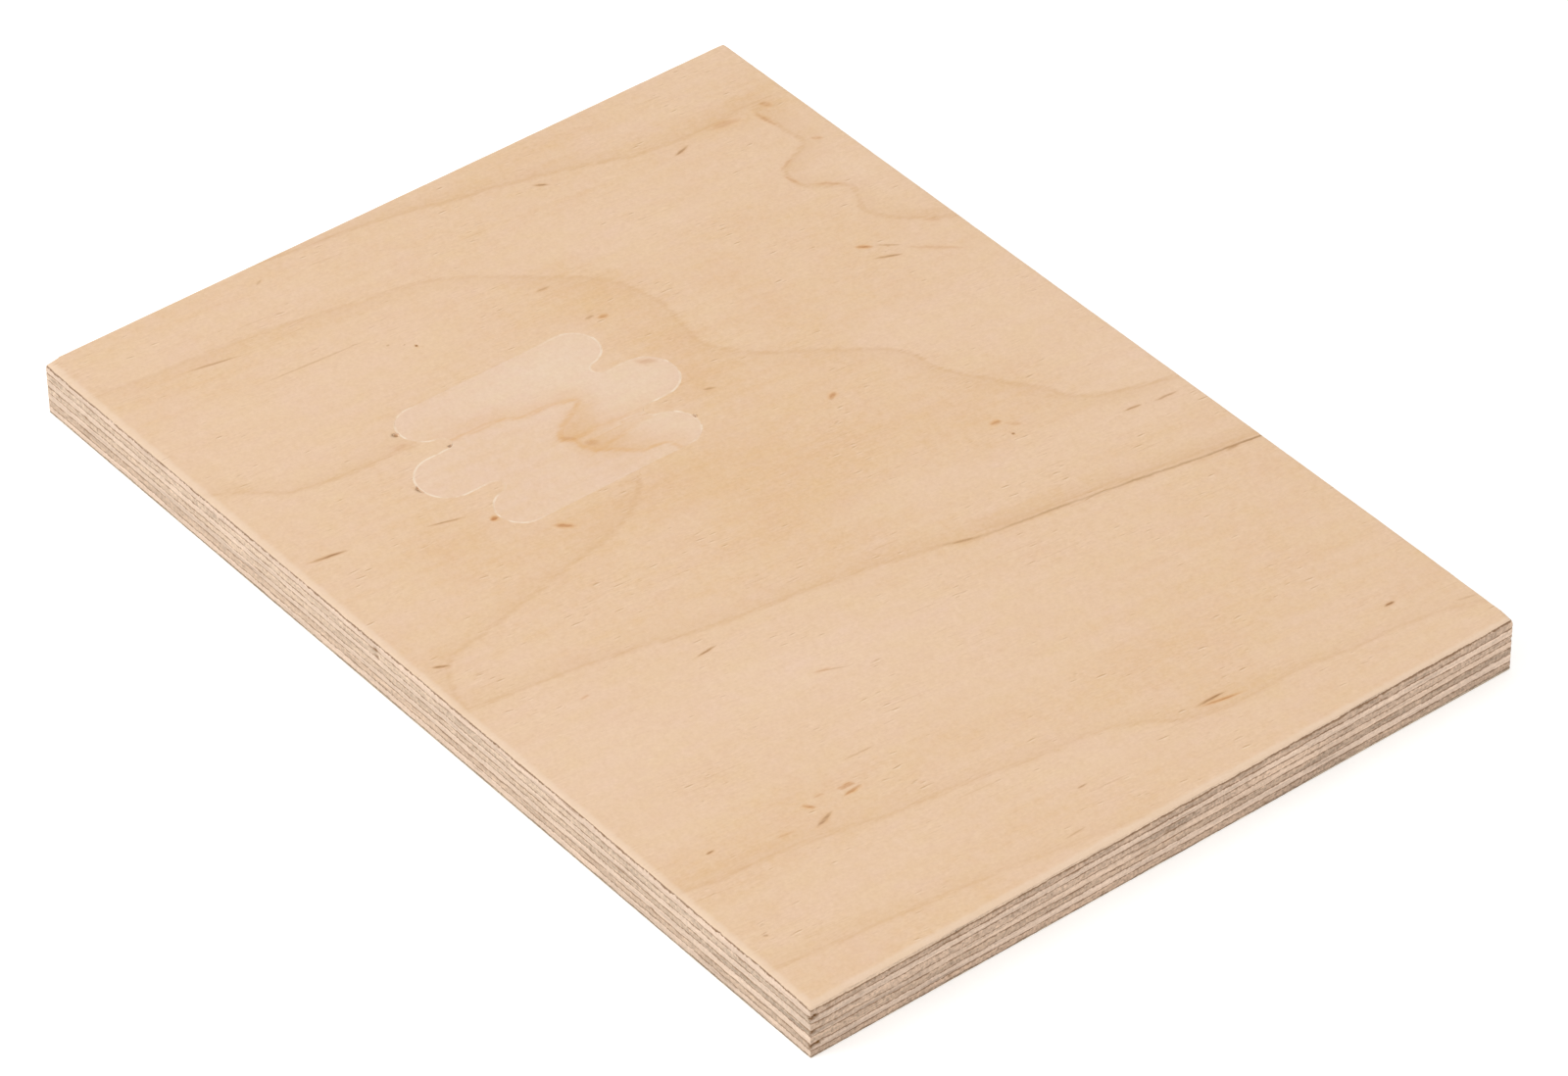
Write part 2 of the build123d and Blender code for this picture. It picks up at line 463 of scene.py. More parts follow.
def sawn_birch(name, grain, side_hex, end_hex, glue_hex, seed):
    """Raw birch veneer cut across its layers. Along the grain the saw leaves long pale
    fibres, and across it darker cut ends full of pores. Glue has soaked into the ends
    beside each glue line, and torn spots have gone brown."""
    material = bpy.data.materials.new(name)
    tree = empty_tree(material)
    coordinates = add_node(tree, "TexCoord")
    place = times(tree, coordinates.outputs["Object"], (1 / mm,) * 3)
    normal = add_node(tree, "SeparateXYZ", {0: coordinates.outputs["Normal"]})
    end_grain = ramp(tree, calc(tree, "ABSOLUTE", normal.outputs[grain]), 0.55, 0.85)

    # Fibre bundles 0.7 mm across and 14 mm long, which the cut ends show as dots
    bundle_size = [1 / 0.7] * 3
    bundle_size["XYZ".index(grain)] = 1 / 14
    bundles = texture(tree, times(tree, place, bundle_size), seed=seed)
    # Growth rings lie nearly flat in a peeled veneer, 0.6 mm apart
    rings = texture(tree, times(tree, place, (1 / 11, 1 / 11, 1 / 0.6)), seed=seed + 3)
    # Torn fibres that the saw left, 0.6 mm across
    torn = texture(tree, place, 1.5, seed=seed + 5)
    # Broad changes of tone along the edge, 8 to 30 mm long
    broad = texture(tree, place, 0.07, 3.0, seed=seed + 9)

    wood = blend(tree, end_grain, linear(side_hex), linear(end_hex))
    pattern = layered(tree, -1.95, (bundles, 1.0), (rings, 1.2), (torn, 1.2), (broad, 0.5))
    side_contrast, end_contrast = (0.38, 0.8) if grain == "X" else (0.52, 0.6)
    contrast = ramp(tree, end_grain, 0.0, 1.0, side_contrast, end_contrast, "LINEAR")
    lightness = calc(tree, "MULTIPLY_ADD", pattern, contrast, 1.0)
    lightness = layered(tree, lightness, (stored(tree, "rim_tone"), 0.2))
    wood = add_node(tree, "VectorMath", {0: wood, "Scale": lightness}, operation="SCALE")

    # Cut pores, seen as dots on the end grain and as short dashes along the side grain
    pores = ramp(tree, bundles, 0.36, 0.26, 0.0, 0.5)
    wood = blend(tree, pores, wood, linear(glue_hex))

    # Glue, strongest in the end grain within 0.1 to 0.6 mm of a glue line, and ragged
    near_glue = layered(tree, stored(tree, "glue_distance"), (torn, 0.5))
    near_glue = calc(tree, "SUBTRACT", near_glue, 0.25)
    uneven = texture(tree, place, 0.3, 3.0, seed=seed + 2)
    width = ramp(tree, uneven, 0.35, 0.65, 0.1, 0.6, "LINEAR")
    side_width = calc(tree, "MULTIPLY", width, 0.55)
    width = add_node(tree, "Mix", {0: end_grain, 2: side_width, 3: width}, data_type="FLOAT")
    soaked = ramp(tree, near_glue, width, 0.0)
    wood = blend(tree, soaked, wood, linear(glue_hex))

    # Torn and knocked spots
    wood = blend(tree, stored(tree, "stain"), wood, linear("#7c5529"))
    wood_surface(tree, wood, 0.75, 0.25, torn, 0.3, 0.12)
    return material


# Inner veneers. Seven peeled veneers, each about 2 mm thick, whose sawn rims are all
# that shows. Crossbands lie with their grain along X, longbands and core along Y.
# rim_rows are the heights of the rim's rows of points in a veneer, from 0 to 1.
rim_rows = [0.0, 0.04, 0.16, 0.38, 0.62, 0.84, 0.96, 1.0]
cap_margin = 1.2
# How much wider glue has soaked crossband_1, on its upper side and on its lower one
first_glue = (0.16, 0.14)


def veneer_blank(name):
    """A flat block the size of one veneer, with its worn corners rounded, its rim cut
    into columns about 0.5 mm wide, and a margin inset on both hidden sides."""
    low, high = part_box(name)
    bpy.ops.object.select_all(action="DESELECT")
    bpy.ops.mesh.primitive_cube_add(size=1, location=(low + high) / 2, scale=high - low)
    bpy.ops.object.transform_apply(location=True, rotation=True, scale=True)
    blank = named(name)
    bpy.ops.object.mode_set(mode="EDIT")
    for (side_x, side_y), shape in corner_shapes.items():
        def at_corner(edge):
            x, y, _ = edge.verts[0].co / mm
            upright = edge_runs(edge, 2, 0) and corner_distance(x, y) < 0.01
            return upright and x * side_x > 0 and y * side_y > 0
        choose(blank, "EDGE", at_corner)
        bpy.ops.mesh.bevel(offset=shape[0] * mm, segments=4, affect="EDGES")
    for axis, cuts in ((0, 24), (1, 20)):
        for least in (100, 3):
            choose(blank, "EDGE", lambda e: edge_runs(e, axis, least))
            bpy.ops.mesh.subdivide(number_cuts=cuts)
    choose(blank, "EDGE", lambda e: edge_runs(e, 2, 0))
    bpy.ops.mesh.subdivide(number_cuts=len(rim_rows) - 2)
    choose(blank, "FACE", lambda f: abs(f.normal.z) > 0.9)
    bpy.ops.mesh.inset(thickness=cap_margin * mm)
    bpy.ops.object.mode_set(mode="OBJECT")
    return blank


def patch_tone(x, y, patches):
    """The sum of soft patches of tone at a place on the rim."""
    return sum(tone * math.exp(-(((x - middle_x) ** 2 + (y - middle_y) ** 2) / spread ** 2) / 2)
               for middle_x, middle_y, spread, tone in patches)


def finish_rim(blank, number, grain, patches):
    """Gives a veneer its waving glue lines and its sawn, worn rim. The first crossband
    drank the most glue, on its upper side and in its cut ends on the lower one."""
    low, high = glue_heights[number], glue_heights[number + 1]
    stains, glue_distances, tones = [], [], []
    for vertex in blank.data.vertices:
        x, y, z = vertex.co / mm
        direction = outward(x, y)
        on_straight = max(abs(x) - half_length, abs(y) - half_width) > -0.01
        in_corner = corner_distance(x, y) < corner_shape(x, y)[0] * 1.01
        if not (on_straight or in_corner):
            for values, plain in ((stains, 0.0), (glue_distances, 1.0), (tones, 0.0)):
                values.append(plain)
            continue
        row = rim_rows[round((z - low) / (high - low) * (len(rim_rows) - 1))]
        bottom, top = glue_height(number, x, y), glue_height(number + 1, x, y)
        height = bottom + (top - bottom) * row
        end_grain = abs(direction["xy".index(grain)]) > 0.7
        recess = rim_recess(x, y, height, abs(2 * row - 1), end_grain)
        vertex.co = Vector((x, y, height)) * mm - direction * recess * mm
        stain = 2.6 * splinter_depth(x, y, height) + 0.85 * knock_strength(x, y, height)
        stains.append(min(1.0, stain))
        upper, lower = first_glue if number == len(stack) - 2 else (0.0, 0.0)
        above = (1 - row) * (top - bottom) - upper
        below = row * (top - bottom) - lower * end_grain
        glue_distances.append(max(0.0, min(above, below)))
        tones.append(patch_tone(x, y, patches))
    set_attribute(blank, "stain", stains)
    set_attribute(blank, "glue_distance", glue_distances)
    set_attribute(blank, "rim_tone", tones)
    smooth(blank)


# Each inner veneer's grain and its colours: along the grain, cut ends, glue-soaked ends
inner_veneers = {
    "crossband_1": ("x", "#e8ceb8", "#d1b49c", "#957356"),
    "longband_1": ("y", "#edd1ba", "#dfc6ae", "#a5846a"),
    "crossband_2": ("x", "#e6cdb7", "#d9bca4", "#957458"),
    "core_veneer": ("y", "#eacdb5", "#dcc3ab", "#a38266"),
    "crossband_3": ("x", "#e6cdb7", "#d1b59d", "#927055"),
    "longband_2": ("y", "#efd4be", "#dac0a8", "#a18066"),
    "crossband_4": ("x", "#e8cfb9", "#d4b79f", "#907157"),
}
# Soft patches where a veneer's rim is darker (below 0) or paler: place, spread, tone
rim_patches = {
    "longband_1": [(125, -105, 25, -0.5), (148.5, -95, 15, -0.2)],
    "crossband_2": [(148.5, 2, 8, -0.9), (148.5, 30, 10, 0.5), (148.5, 58, 9, -0.3)],
    "core_veneer": [(130, -105, 32, -0.6), (148.5, -92, 22, -0.8), (70, -105, 20, -0.3)],
    "crossband_3": [
        (148.5, -95, 14, 0.4), (148.5, 80, 30, -0.6), (148.5, -2, 10, 0.4), (-82, -105, 18, -0.5),
    ],
    "longband_2": [(110, -105, 35, -0.5), (148.5, -85, 25, -0.4), (-120, -105, 18, -0.5)],
    "crossband_4": [(148.5, -40, 25, 0.5), (148.5, 45, 25, -0.5), (115, -105, 25, -0.4)],
}
for name, (grain, side_hex, end_hex, glue_hex) in inner_veneers.items():
    number = stack.index(name)
    veneer = veneer_blank(name)
    finish_rim(veneer, number, grain, rim_patches.get(name, []))
    finish = (grain.upper(), side_hex, end_hex, glue_hex, number * 3.7)
    veneer.data.materials.append(sawn_birch(f"birch_{name}_sawn", *finish))
    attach(veneer, "root")
    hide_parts(name)


# Face veneer. The best veneer, peeled from the log in one long ribbon, so its growth
# rings wander over the face as thin brown lines. Sanded to about half a millimetre,
# with the arris eased by hand. A round-lobed hole takes the repair plug.

# Distances in from the edge of the first rows of its mesh, then an even step
border_rows = [0.0, 0.12, 0.35, 0.65, 1.0, 1.4, 2.0, 2.7]
face_step = 1.25

# Growth lines: places along and across the grain as (y, x), then how strong the line
# is at its start and end. Over 1 it has a dark core too.
main_lines = [
    ([(106, 30), (91, 26), (82, 21.7), (78, 17), (76, 12.5), (71.5, 6.7), (66, -1.7),
      (61.2, -10), (60.2, -17.5), (56.5, -23), (50, -28), (41, -35), (32, -41), (26.5, -47.5),
      (23.2, -54), (24, -62), (25.3, -70), (24.5, -78), (22, -86), (17, -92.5), (9, -99),
      (1, -106), (-10, -114), (-21, -117.5), (-39, -121), (-59, -125), (-80, -127),
      (-106, -130)], 1.0, 0.7),
    ([(-106, -83), (-96, -76.7), (-89, -70.8), (-79, -68), (-68, -66.7), (-54, -66.5)], 0.9, 1.0),
    ([(-106, 20), (-86, 22.5), (-66, 26), (-56, 28), (-49, 30.3), (-39, 32.5), (-29, 34.2),
      (-19, 35.3), (-8, 37.5), (1, 38.7), (11, 41.3), (19, 43.3)], 1.0, 1.0),
    ([(19, 43.3), (27, 46.3), (37, 48), (47, 49.5), (61, 52), (71, 53.7), (81, 55.7), (91, 57.5),
      (99, 58.7), (106, 60)], 1.2, 1.6),
    ([(-106, 100.5), (-86, 103.3), (-73, 104.5), (-59, 107.5), (-51, 109.7), (-39, 110.8),
      (-26, 112.8), (-13, 115.3), (1, 116.7), (11, 120), (17, 123.3), (22, 126.7), (36, 130),
      (54, 130), (67, 132), (81, 133.3), (92, 135), (106, 139.6)], 0.9, 0.8),
]
other_lines = [
    ([(-48, -150), (-30, -146.7), (-13, -144.7), (1, -142), (11, -138.7), (21, -136.7),
      (31, -134), (39, -131.7), (49, -128.3), (58, -125), (71, -122.8), (82, -122.5),
      (91, -123.3), (97, -122.3), (92.5, -119), (94, -114), (94, -108), (94.5, -102.5),
      (88, -98.3), (83, -95), (82.5, -89), (87, -84), (92, -80.8), (90.7, -76), (88.2, -70),
      (92, -63.3), (98, -58.3), (106, -53)], 1.0, 1.0),
    ([(-104, 22), (-101, 12), (-96, 4), (-89, 1.7), (-81, 0), (-73, -1.7), (-59, -4.7),
      (-48, -7.5), (-39, -9.2), (-31, -12.5), (-26, -15.8), (-22, -20)], 0.8, 1.0),
    ([(-106, 133), (-73, 136.7), (-51, 139.2), (-36, 141.3), (-10, 146), (5, 150)], 0.9, 0.5),
    ([(33, 45.6), (47, 47.8), (61, 50.3), (71, 52.0), (81, 54.0), (91, 55.7), (106, 58.2)],
      0.8, 1.0),
]

# Marks on the face: along and across the grain (y, x), length, width, turn from the
# grain in degrees, strength. Dark ones are thin bark-coloured streaks, except the last
# four, which are painted shade in the bottoms of the open spots beside the plug. Amber
# ones are blunter and more orange.
dark_marks_and_spot_shade = [
    (32, -129.7, 4.4, 0.9, 36, 0.8), (68.2, -118.7, 5.5, 0.9, -17, 0.85),
    (-73.5, -122.2, 14, 0.7, 12, 0.6), (-54, -107.2, 32, 0.6, 4, 0.28),
    (-36.3, -101.2, 1.0, 0.6, 0, 0.6), (-31, -96.7, 0.9, 0.8, 0, 1.5),
    (6.5, -95.2, 4, 0.8, 3, 0.75), (-46, -141.7, 2.8, 0.8, -25, 0.45),
    (80.7, -51.7, 7.5, 0.8, 24, 0.85), (83.5, -55.3, 7, 0.6, 38, 0.5),
    (-95, -44.7, 10.5, 0.9, 10, 1.05), (-66, -37.6, 10.5, 0.65, 17, 0.6),
    (13.7, -38.2, 3.5, 0.7, 22, 0.6), (-98.5, 4.2, 4.5, 0.9, 28, 1.0),
    (59.2, 21.7, 1.0, 0.8, 0, 1.1), (97, 33.8, 7.5, 0.8, 4, 0.55),
    (-47.7, 38.7, 6.5, 0.7, -5, 0.85), (-90.2, 94.2, 2.6, 0.6, 0, 0.9),
    (-63.2, 101.7, 6.5, 1.2, -20, 0.75), (31.5, 125.3, 9, 0.85, 1, 0.95),
    (86, 126, 3.4, 0.9, 0, 1.1), (-11, 129.7, 3.2, 0.6, 0, 0.5), (101.5, 135.6, 6, 0.8, 15, 0.28),
    (-97.7, 123.7, 1.6, 0.9, 40, 0.45), (-22.5, 141, 6.5, 0.6, -3, 0.35),
    (-29, 62, 8, 0.5, 24, 0.35), (96.3, 58.9, 4.5, 1.2, 2, 0.45), (8.5, -79, 3, 0.8, 5, 0.6),
    (-43, 88.8, 9, 0.55, 3, 0.35), (88, 32.2, 5.5, 0.7, 7, 0.85), (24, 45.1, 7, 0.8, 15, 0.5),
    # The last four: painted shade in the bottoms of the open spots, not marks in the wood
    (-55.7, -71.9, 2.2, 1.2, 30, 0.7), (-63.8, -51.4, 1.4, 2.6, -20, 0.7),
    (-48.1, -60.1, 1.8, 0.9, 20, 0.5), (4.7, -32.0, 1.2, 0.9, -60, 0.6),
]
amber_marks = [
    (-45, -18.7, 5.5, 1.5, 42, 0.85), (34.8, -17, 4.2, 1.5, -35, 0.85),
    (32.6, -14.8, 2.2, 1.2, 30, 0.5), (58.7, 15.8, 3.6, 1.5, 15, 1.05),
    (62.0, 19.0, 4.0, 1.2, 30, 0.25), (-63.3, 96, 3.4, 1.3, 45, 0.75),
    (-51.8, 97.8, 6.5, 1.1, -9, 0.95), (-58.5, 94.6, 5, 0.9, 2, 0.3),
    (33.5, 127, 11.5, 0.8, 11, 0.9), (11.3, -77.2, 3.2, 1.2, 15, 0.85),
    (-56.3, -31.3, 2.6, 1.5, 5, 1.1), (78.3, -58.6, 4.8, 1.2, 38, 0.9),
    (92, -47.2, 15, 1.4, 40, 0.25), (-79.3, 33.8, 3, 0.7, 0, 0.4), (-31, 61, 5, 1.0, 12, 0.3),
    (-57.5, -67.3, 5, 1.8, 0, 0.2), (-73, 100.2, 6, 0.8, 5, 0.3), (98.5, -56.5, 6, 1.4, 40, 0.25),
    (-52.7, 95.5, 7.5, 0.9, 2, 0.75), (83.2, -120.8, 10, 2.4, 8, 0.35),
    (96.8, -120.8, 4, 2.4, 60, 0.4), (92.8, -115.5, 8, 1.4, 84, 0.4),
    (97.8, -101.4, 3.6, 1.2, 35, 0.4), (81.8, -91.5, 7, 1.0, 80, 0.3),
    (88.0, -84.6, 8, 1.3, 38, 0.35), (84.5, -97.3, 7, 1.0, -25, 0.3),
]

# Broad soft patches of the face: middle (x, y), half spreads, tone. Above 0 it is
# warmer and browner, below 0 paler and pinker.
face_patches = [
    (-88, 12, 16, 8, 0.7), (-66, 18, 15, 6, 0.6), (-42, 14, 10, 8, 0.7), (-15, -25, 7, 30, 0.8),
    (-40, -70, 20, 8, 0.5), (-5, 25, 14, 22, 0.6), (10, 57, 11, 12, 0.3), (5, 0, 16, 22, 0.5),
    (25, -5, 15, 15, 0.4), (98, -62, 8, 20, 0.4), (98, -95, 8, 10, 0.4), (118, 34, 10, 14, 0.5),
    (105, 15, 9, 20, 0.4), (-123, -75, 5, 30, 0.5), (-123, 80, 5, 22, 0.6),
    (-145, 30, 6, 30, 0.3), (-52, 46, 22, 6, 0.5), (-65, 70, 14, 8, 0.2), (86, 60, 10, 20, 0.4),
    (46, 42, 5, 30, 0.4), (100, 95, 6, 10, 0.3), (135, 60, 8, 30, -0.2), (55, -50, 12, 42, -0.8),
    (20, 99, 10, 9, -0.8), (-12, 92, 13, 10, -0.5), (-20, 60, 14, 12, -0.3),
    (75, 2, 14, 20, -0.5), (62, -95, 22, 10, -0.4), (-100, -60, 10, 25, -0.4),
    (-78, -85, 10, 15, -0.5), (-113, 25, 6, 25, -0.5), (-135, -60, 6, 30, -0.3),
    (30, -88, 12, 9, -0.5), (120, -30, 8, 40, -0.4), (35, 60, 8, 25, -0.3),
    (-30, -95, 12, 8, -0.2), (-85, 97, 8, 6, -0.8), (65, 80, 10, 16, -0.2),
]


def smooth_path(points, spans=6):
    """A soft curve through given points, as an array of (x, y)."""
    corners = np.array([(x, y) for y, x in points], float)
    padded = np.vstack([2 * corners[0] - corners[1], corners, 2 * corners[-1] - corners[-2]])
    path = []
    for before, start, end, after in zip(padded, padded[1:], padded[2:], padded[3:]):
        for t in np.linspace(0, 1, spans, endpoint=False):
            path.append(0.5 * (2 * start + (end - before) * t
                               + (2 * before - 5 * start + 4 * end - after) * t ** 2
                               + (3 * start - before - 3 * end + after) * t ** 3))
    return np.array(path + [corners[-1]])


def growth_field(places, lines, reach=8.0):
    """For each place, the signed distance to the nearest growth line and the line's
    strength, which fades to nothing at reach, so that no line shows twice."""
    best = np.full(len(places), 1e6)
    signed = np.zeros(len(places))
    strength = np.zeros(len(places))
    for points, first, last in lines:
        path = smooth_path(points)
        for i, (a, b) in enumerate(zip(path, path[1:])):
            run = b - a
            t = np.clip(((places - a) @ run) / max(run @ run, 1e-9), 0, 1)
            away = places - (a + t[:, None] * run)
            distance = np.hypot(away[:, 0], away[:, 1])
            closer = distance < best
            best[closer] = distance[closer]
            side = run[0] * away[:, 1] - run[1] * away[:, 0]
            signed[closer] = np.copysign(distance, side)[closer]
            strength[closer] = first + (last - first) * (i + t[closer]) / (len(path) - 1)
    return signed, strength * np.clip(2 - 2 * best / reach, 0, 1)


def mark_field(places, marks):
    """For each place, how far it is along and across the nearest mark in half lengths
    and half widths, and the mark's strength, which is 0 farther off than 3 mm and
    halfway between two marks."""
    field = np.zeros((len(places), 3))
    best = np.full(len(places), 1e6)
    second = best.copy()
    for along, across, length, width, turn, strength in marks:
        angle = math.radians(turn)
        away = places - np.array((across, along))
        lengthwise = away[:, 1] * math.cos(angle) + away[:, 0] * math.sin(angle)
        crosswise = away[:, 0] * math.cos(angle) - away[:, 1] * math.sin(angle)
        outside = np.maximum(np.abs(lengthwise) - length / 2, 0)
        distance = np.hypot(outside, crosswise)
        closer = distance < best
        second = np.where(closer, best, np.minimum(second, distance))
        best[closer] = distance[closer]
        field[closer, 0] = lengthwise[closer] / (length / 2)
        field[closer, 1] = crosswise[closer] / (width / 2)
        field[closer, 2] = strength
    field[:, 2] *= (best < 3) & (second - best > 1.6)
    return field


def patch_field(places, patches):
    """The sum of the soft patches at each place."""
    total = np.zeros(len(places))
    for x, y, spread_x, spread_y, tone in patches:
        away_x, away_y = (places[:, 0] - x) / spread_x, (places[:, 1] - y) / spread_y
        total += tone * np.exp(-(away_x ** 2 + away_y ** 2) / 2)
    return total


def paint_figure(piece, lines_a, lines_b, dark, amber, patches):
    """Stores a veneer's growth lines, marks and patches in its vertices."""
    places = np.zeros(len(piece.data.vertices) * 3)
    piece.data.vertices.foreach_get("co", places)
    places = places.reshape(-1, 3)[:, :2] / mm
    for name, lines in (("ring_a", lines_a), ("ring_b", lines_b)):
        distance, strength = growth_field(places, lines)
        set_attribute(piece, name, distance)
        set_attribute(piece, f"{name}_strength", strength)
    for name, marks in (("dark_mark", dark), ("amber_mark", amber)):
        field = mark_field(places, marks)
        attribute = piece.data.attributes.new(name, "FLOAT_VECTOR", "POINT")
        attribute.data.foreach_set("vector", field.astype(np.float32).ravel())
    set_attribute(piece, "warmth", patch_field(places, patches))


def edge_distance(x, y):
    """How far a place on the sheet is from the nearest edge."""
    return min(half_length - abs(x), half_width - abs(y))


def round_corner(x, y):
    """Moves a place near a square corner to the worn outline. Returns it with its
    distance from that outline."""
    radius = corner_shape(x, y)[0]
    across = radius - (half_length - abs(x))
    along = radius - (half_width - abs(y))
    if across <= 0 or along <= 0:
        return x, y, edge_distance(x, y)
    reach = max(across, along)
    if across >= along:
        angle = math.pi / 4 * along / across
    else:
        angle = math.pi / 2 - math.pi / 4 * across / along
    new_x = half_length - radius + reach * math.cos(angle)
    new_y = half_width - radius + reach * math.sin(angle)
    return math.copysign(new_x, x), math.copysign(new_y, y), radius - reach


def grid_places(half, step):
    """Places of a grid's lines across the sheet: close at both edges, even between."""
    inner = half - border_rows[-1]
    count = round(2 * inner / step)
    middle = np.linspace(-inner, inner, count + 1)
    edge = half - np.array(border_rows[:-1])
    return np.concatenate([-edge, middle, edge[::-1]])


def faced_veneer(name, outer, inner):
    """A thin veneer with a fine mesh on its outer side, to carry the figure."""
    rows, columns = grid_places(half_length, face_step), grid_places(half_width, face_step)
    bpy.ops.object.select_all(action="DESELECT")
    bpy.ops.mesh.primitive_grid_add(
        x_subdivisions=len(rows) - 1, y_subdivisions=len(columns) - 1, size=2)
    veneer = named(name)
    for vertex in veneer.data.vertices:
        row = round((vertex.co.x + 1) / 2 * (len(rows) - 1))
        column = round((vertex.co.y + 1) / 2 * (len(columns) - 1))
        vertex.co = Vector((rows[row], columns[column], outer)) * mm
    bpy.ops.object.mode_set(mode="EDIT")
    bpy.ops.mesh.select_all(action="SELECT")
    thick = (0, 0, (inner - outer) * mm)
    bpy.ops.mesh.extrude_region_move(TRANSFORM_OT_translate={"value": thick})

    def long_rim(edge):
        ends = [vertex.co / mm for vertex in edge.verts]
        on_rim = all(edge_distance(end.x, end.y) < 0.01 for end in ends)
        return on_rim and abs(ends[0].z - ends[1].z) < 0.01 and edge.calc_length() > 0.9 * mm

    choose(veneer, "EDGE", long_rim)
    bpy.ops.mesh.subdivide(number_cuts=2)
    close_up()
    return veneer


def sanded_birch(name, pale_hex, plain_hex, warm_hex, line_hex, line_tone, edge_light, coarseness):
    """Birch veneer sanded smooth and left raw: a matt, creamy tan with soft pink and
    yellow clouds, faint brown growth lines, short pore dashes along the grain and a few
    bark-coloured marks. line_tone is how strong the growth lines are, edge_light how
    much the freshly sanded arris shows, coarseness how much of the fibres shows."""
    material = bpy.data.materials.new(name)
    tree = empty_tree(material)
    coordinates = add_node(tree, "TexCoord")
    place = times(tree, coordinates.outputs["Object"], (1 / mm,) * 3)
    # The fibres run along Y, turned about 6 degrees towards +X
    turn = {"Vector": place, "Angle": math.radians(6)}
    grain = add_node(tree, "VectorRotate", turn, rotation_type="Z_AXIS")

    # Clouds of 20 to 60 mm between pale, plain and warm wood, then growth streaks 1 to
    # 3 mm wide and 60 mm long, and blotches of 1 to 3 mm where the fibres rise and dip
    clouds = texture(tree, times(tree, grain, (1 / 16, 1 / 45, 1 / 16)), detail=3.0)
    streaks = texture(tree, times(tree, grain, (1 / 2.2, 1 / 60, 1 / 2.2)), detail=4.0)
    blotches = texture(tree, place, 0.36, 3.0, 0.65)
    cloudy = layered(tree, -0.55, (clouds, 1.1), (stored(tree, "warmth"), 0.62),
                     (streaks, 0.9), (blotches, 1.3))
    wood = add_node(tree, "ValToRGB", {0: ramp(tree, cloudy, 0.1, 2.1, curve="LINEAR")})
    wood.color_ramp.elements[0].color = linear(pale_hex)
    wood.color_ramp.elements[1].color = linear(warm_hex)
    wood.color_ramp.elements.new(0.5).color = linear(plain_hex)

    # Pinkish and yellowish tints, from 9 mm across down to 1 mm
    tints = texture(tree, times(tree, grain, (1 / 9, 1 / 16, 1)), detail=3.0, roughness=0.75)
    tint = blend(tree, tints, (1.0, 0.983, 1.08, 1.0), (1.0, 1.017, 0.92, 1.0))
    wood = times(tree, wood.outputs["Color"], tint)

    # Fibres 0.5 mm wide and 2.5 mm long, clearer in some places
    fibres = texture(tree, times(tree, grain, (1 / 0.5, 1 / 2.5, 1)))
    drifts = texture(tree, place, 0.06, 3.0)
    clear = ramp(tree, drifts, 0.4, 0.62, 0.7 * coarseness, 1.7 * coarseness, "LINEAR")
    specks = texture(tree, place, 1.3, 1.0)
    fine = calc(tree, "MULTIPLY_ADD", calc(tree, "SUBTRACT", fibres, 0.5), clear, -0.1)
    fine = layered(tree, fine, (specks, 1.2))
    shade = blend(tree, fine, (0.956, 0.94, 0.915, 1.0), (1.044, 1.06, 1.085, 1.0))
    wood = times(tree, wood, shade)

    # Pores: dashes about 0.4 mm wide and 2 to 4 mm long, in drifts, each with a pale
    # painted highlight beside it, where a lifted fibre would catch the light, and a few
    # thin veins 20 mm long
    dashed = times(tree, grain, (1 / 0.75, 1 / 5, 1))
    fibre_highlight_place = add_node(tree, "VectorMath", {0: dashed, 1: (-0.55, 0.0, 0.0)}, operation="ADD")
    veined = times(tree, grain, (1 / 0.9, 1 / 26, 1))
    for pattern, low, high, amount, tint_hex in (
        (veined, 0.92, 1.06, 0.2, "#c2935e"),
        (dashed, 0.93, 1.08, 0.5, "#b3824e"),
        # Pale dashes: a painted highlight on the fibre beside each pore
        (fibre_highlight_place, 0.93, 1.08, 0.45, "#f6e0c8"),
    ):
        dashes = layered(tree, texture(tree, pattern, detail=1.0), (drifts, 0.45))
        dashes = ramp(tree, dashes, low, high, 0.0, amount * min(1.0, coarseness))
        wood = blend(tree, dashes, wood, linear(tint_hex))

    # Growth lines: soft, about 3 mm wide and broken up by the fibres. The wood is a
    # little warmer for some millimetres on one side of each.
    feathers = texture(tree, times(tree, grain, (1 / 0.9, 1 / 8, 1)))
    wobble = layered(tree, -0.6, (texture(tree, place, 0.45), 1.2))
    ragged = calc(tree, "ADD", layered(tree, -0.8, (feathers, 1.6)), wobble)
    broken = ramp(tree, feathers, 0.35, 0.65, 0.55, 1.2, "LINEAR")
    for ring in ("ring_a", "ring_b"):
        distance, strength = stored(tree, ring), stored(tree, f"{ring}_strength")
        near = calc(tree, "ADD", distance, ragged)
        line = ramp(tree, calc(tree, "ABSOLUTE", near), 1.6, 0.1, 0.0, line_tone)
        line = calc(tree, "MULTIPLY", line, broken)
        fade = ramp(tree, near, 7.0, 0.5, 0.0, line_tone * 0.45, "LINEAR")
        warm_side = ramp(tree, near, -0.7, 0.4, curve="LINEAR")
        line = calc(tree, "MAXIMUM", line, calc(tree, "MULTIPLY", fade, warm_side))
        line = calc(tree, "MULTIPLY", line, calc(tree, "MINIMUM", strength, 1.0))
        wood = blend(tree, line, wood, linear(line_hex))
        # The dark core of the strongest line, about 0.6 mm wide
        near = layered(tree, distance, (wobble, 0.5))
        core = ramp(tree, calc(tree, "ABSOLUTE", near), 0.55, 0.1)
        extra = calc(tree, "SUBTRACT", strength, 1.0, use_clamp=True)
        core = calc(tree, "MULTIPLY", calc(tree, "MULTIPLY", core, extra), broken)
        wood = blend(tree, core, wood, linear("#9a7144"))
